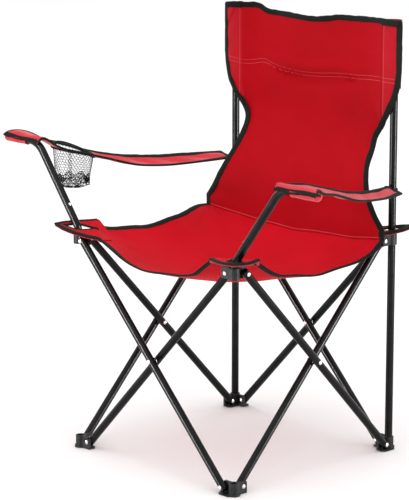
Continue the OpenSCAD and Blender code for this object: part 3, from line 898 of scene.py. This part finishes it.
def build_hems():
    """Pocket at the front of each arm, sewn round the end of its post."""
    for side, cx in SIDES.items():
        low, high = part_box(f"{side}_arm_hem")
        z = centre(f"{side}_post_plug")[2]
        start, end = (low.x + 0.001, high.x + 0.002) if cx > 0 else (high.x - 0.001, low.x - 0.002)
        x = np.linspace(start, end, 60)
        turns = np.linspace(math.radians(165), math.radians(375), 40)
        u, v = np.meshgrid(np.arange(len(x)), turns, indexing="ij")
        along = x[u]
        radius = TUBE_R + 0.0011 + 0.0005 * np.sin(along * 90) ** 2
        closing = np.clip((0.006 - np.abs(end - along)) / 0.006, 0, 1)
        radius = radius * np.sqrt(1 - 0.97 * closing ** 2)
        grid = np.stack([along, -HALF + radius * np.cos(v), z + radius * np.sin(v)], -1)
        # Arm pocket in the red with painted sheen.
        piece = cloth(f"{side}_arm_pocket", grid, ARM_RED_PAINTED_SHEEN, thick=0.0016)
        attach(piece, f"{side}_arm_post")
        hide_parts(f"{side}_arm_hem")


def build_loops():
    """Webbing loop that ties the rear of each arm round its upright."""
    for side, cx in SIDES.items():
        low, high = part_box(f"{side}_arm_loop")
        turns = np.linspace(0, 2 * math.pi, 49)[:-1]
        middle = (low.z + high.z) / 2 - 0.004
        ring = np.stack([cx * HALF + LOOP_R * np.cos(turns), HALF + LOOP_R * np.sin(turns),
                         middle + 0.0004 * np.sin(turns * 3)], 1)
        up = np.tile([0.0, 0.0, 1.0], (len(ring), 1))
        piece = swept(f"{side}_loop", ring, up, oval(LOOP_W, 0.0018), TAPE_BLACK, closed=True)
        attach(piece, f"{side}_arm_loop")
        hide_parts(f"{side}_arm_loop")


# ---- The cup holder ----

def net(name, surface, columns, rows, radius, material, around=True):
    """Hexagonal net on a surface given by (turn share, depth share), closed if it goes all around."""
    nodes, links, seen = [], [], {}

    def node(i, j):
        key = (i % (2 * columns) if around else i, j)
        if key not in seen:
            seen[key] = len(nodes)
            zig = 0.17 if (i + j) % 2 else -0.17
            nodes.append(surface(key[0] / (2 * columns), min(1, max(0, (j + zig) / rows))))
        return seen[key]

    for j in range(rows + 1):
        for i in range(2 * columns - (0 if around else 1)):
            links.append((node(i, j), node(i + 1, j)))
            if (i + j) % 2 == 1 and j < rows:
                links.append((node(i, j), node(i, j + 1)))
    nodes = np.array(nodes)
    verts, faces = [], []
    for p, q in links:
        a, b = nodes[p], nodes[q]
        if np.linalg.norm(b - a) < 1e-5:
            continue
        t = unit(b - a)
        side = unit(np.cross(t, [0.3, 0.4, 0.86]))
        up = np.cross(t, side)
        base = len(verts)
        for end in (a, b):
            for k in range(4):
                turn = k * math.pi / 2
                verts.append(end + radius * (math.cos(turn) * side + math.sin(turn) * up))
        for k in range(4):
            n = (k + 1) % 4
            faces.append((base + k, base + n, base + 4 + n, base + 4 + k))
    return make(name, verts, faces, material, sharp=180)


def build_cup():
    """Mesh pouch under the right arm, with a bound mouth, a side seam and a gathered base."""
    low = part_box("cup_mesh")[0].z
    mouth_r, rim_r, base_r, gather = 0.0372, 0.0385, 0.0300, 0.0125

    def mouth_z(turn):
        x = CUP[0] + mouth_r * math.cos(turn)
        y = CUP[1] + mouth_r * math.sin(turn)
        inner, outer = arm_width(y)
        b = (abs(x) - inner) / (outer - inner)
        a = (y - ARM_FRONT) / (ARM_BACK - ARM_FRONT)
        return float(arm_point("right", np.array(a), np.array(b))[2])

    def at(turn, r, z):
        return (CUP[0] + r * math.cos(turn), CUP[1] + r * math.sin(turn), z)

    def wall(turn_share, depth_share):
        turn = turn_share * 2 * math.pi
        top = mouth_z(turn)
        z = top + (low + gather - top) * depth_share
        ease = depth_share ** 1.3
        belly = 0.0015 * math.sin(turn * 3 + depth_share * 4) * depth_share
        return at(turn, mouth_r + (base_r - mouth_r) * ease + belly, z)

    def gathered(turn_share, depth_share):
        turn = turn_share * 2 * math.pi
        z = low + gather - 0.004 + 0.013 * (1 - depth_share) + 0.0035 * math.sin(turn * 7 + 1)
        r = base_r - 0.0020 + 0.0035 * math.sin(turn * 13 + depth_share * 9) * math.cos(turn * 5)
        return at(turn, r, z)

    def base(turn_share, depth_share):
        turn = turn_share * 2 * math.pi
        r = (base_r - 0.001) * math.cos(depth_share * math.pi / 2) + 0.0015
        z = low + 0.0012 + (gather - 0.0015) * (1 - math.sin(depth_share * math.pi / 2)) ** 1.6
        return at(turn, r, z)

    def seam(turn_share, depth_share):
        turn = math.radians(-48) + (turn_share - 0.5) * 0.24
        x, y, z = wall(turn / (2 * math.pi), depth_share)
        push = 1.025
        return (CUP[0] + (x - CUP[0]) * push, CUP[1] + (y - CUP[1]) * push, z)

    pieces = [
        net("cup_net", wall, 36, 13, 0.00032, NET_BLACK),
        net("cup_gathers", gathered, 26, 4, 0.00070, NET_BLACK),
        net("cup_base_net", base, 20, 5, 0.00032, NET_BLACK),
        net("cup_seam_net", seam, 2, 18, 0.00040, NET_BLACK, around=False),
    ]
    turns = np.linspace(0, 2 * math.pi, 97)[:-1]
    ring = np.array([at(turn, rim_r, mouth_z(turn)) for turn in turns])
    out = ring - CUP
    out[:, 2] = 0
    rim = swept("cup_binding", ring, out, oval(0.0075, 0.0062), TAPE_BLACK, closed=True)
    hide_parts("cup_rim")
    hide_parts("cup_mesh")
    for piece in pieces:
        swing_arm(piece, "right")
    swing_arm(rim, "right")


# ---- Studio ----

CAMERA_AZIMUTH = math.radians(45.17)
CAMERA_ELEVATION = math.radians(12.26)
CAMERA_DISTANCE = 4.503
CAMERA_ORBIT = Vector((0, 0, 0.410))
CAMERA_TARGET = Vector((-0.0331, -0.0448, 0.3731))
CAMERA_LENS = 179.6


def area_light(name, place, target, size, power, colour=(1, 1, 1)):
    data = bpy.data.lights.new(name, "AREA")
    data.shape = "RECTANGLE"
    data.size, data.size_y = size
    data.energy = power
    data.color = colour
    light = bpy.data.objects.new(name, data)
    light.location = place
    light.rotation_euler = (Vector(target) - Vector(place)).to_track_quat("-Z", "Y").to_euler()
    bpy.context.scene.collection.objects.link(light)
    return light


def build_studio():
    world = bpy.data.worlds.new("studio")
    world.use_nodes = True
    world.node_tree.nodes["Background"].inputs[0].default_value = (1, 1, 1, 1)
    world.node_tree.nodes["Background"].inputs[1].default_value = 1.06
    bpy.context.scene.world = world
    floor = bpy.data.meshes.new("floor")
    reach = 30
    corners = ((-1, -1), (1, -1), (1, 1), (-1, 1))
    floor.from_pydata([(reach * x, reach * y, -0.0006) for x, y in corners], [], [(0, 1, 2, 3)])
    material, tree, shader = blank("floor")
    shade = ramp(tree, object_noise(tree, 2.0), 0.3, 0.7, (0.90, 0.90, 0.90), (0.93, 0.93, 0.93))
    tree.links.new(shade, shader.inputs["Base Color"])
    shader.inputs["Roughness"].default_value = 0.9
    shader.inputs["Specular IOR Level"].default_value = 0.1
    floor.materials.append(material)
    ground = bpy.data.objects.new("floor", floor)
    bpy.context.scene.collection.objects.link(ground)
    glossy = bpy.data.collections.new("gloss_painted")
    for obj in frame["nodes"].values():
        if obj.data.materials and obj.data.materials[0] in (PAINT, PLASTIC, PLUG, NICKEL):
            glossy.objects.link(obj)
    for azimuth, power in ((-62, 150), (66, 150)):
        turn = CAMERA_AZIMUTH + math.radians(azimuth)
        place = (2.2 * math.sin(turn), -2.2 * math.cos(turn), 0.75)
        strip = area_light(f"strip_{azimuth}", place, (0, 0, 0.75), (0.24, 2.4), power)
        strip.light_linking.receiver_collection = glossy
    area_light("top_box", (0.6, -0.9, 3.0), (0, 0, 0.42), (2.4, 2.4), 14)
    under = bpy.data.collections.new("floor_only")
    under.objects.link(ground)
    wash = area_light("floor_wash", (0, 0, 4.0), (0, 0, 0), (6.0, 6.0), 60)
    wash.light_linking.receiver_collection = under


def build_camera():
    data = bpy.data.cameras.new("camera")
    data.lens = CAMERA_LENS
    camera = bpy.data.objects.new("camera", data)
    flat = math.cos(CAMERA_ELEVATION)
    back = Vector((math.sin(CAMERA_AZIMUTH) * flat, -math.cos(CAMERA_AZIMUTH) * flat,
                   math.sin(CAMERA_ELEVATION)))
    camera.location = CAMERA_ORBIT + back * CAMERA_DISTANCE
    camera.rotation_euler = (CAMERA_TARGET - camera.location).to_track_quat("-Z", "Y").to_euler()
    bpy.context.scene.collection.objects.link(camera)
    bpy.context.scene.camera = camera


finish_cad()
build_camera()
build_studio()
build_seat()
build_tabs()
build_back()
build_sleeves()
build_arms()
build_hems()
build_loops()
build_cup()
bpy.context.scene.view_settings.view_transform = "Standard"
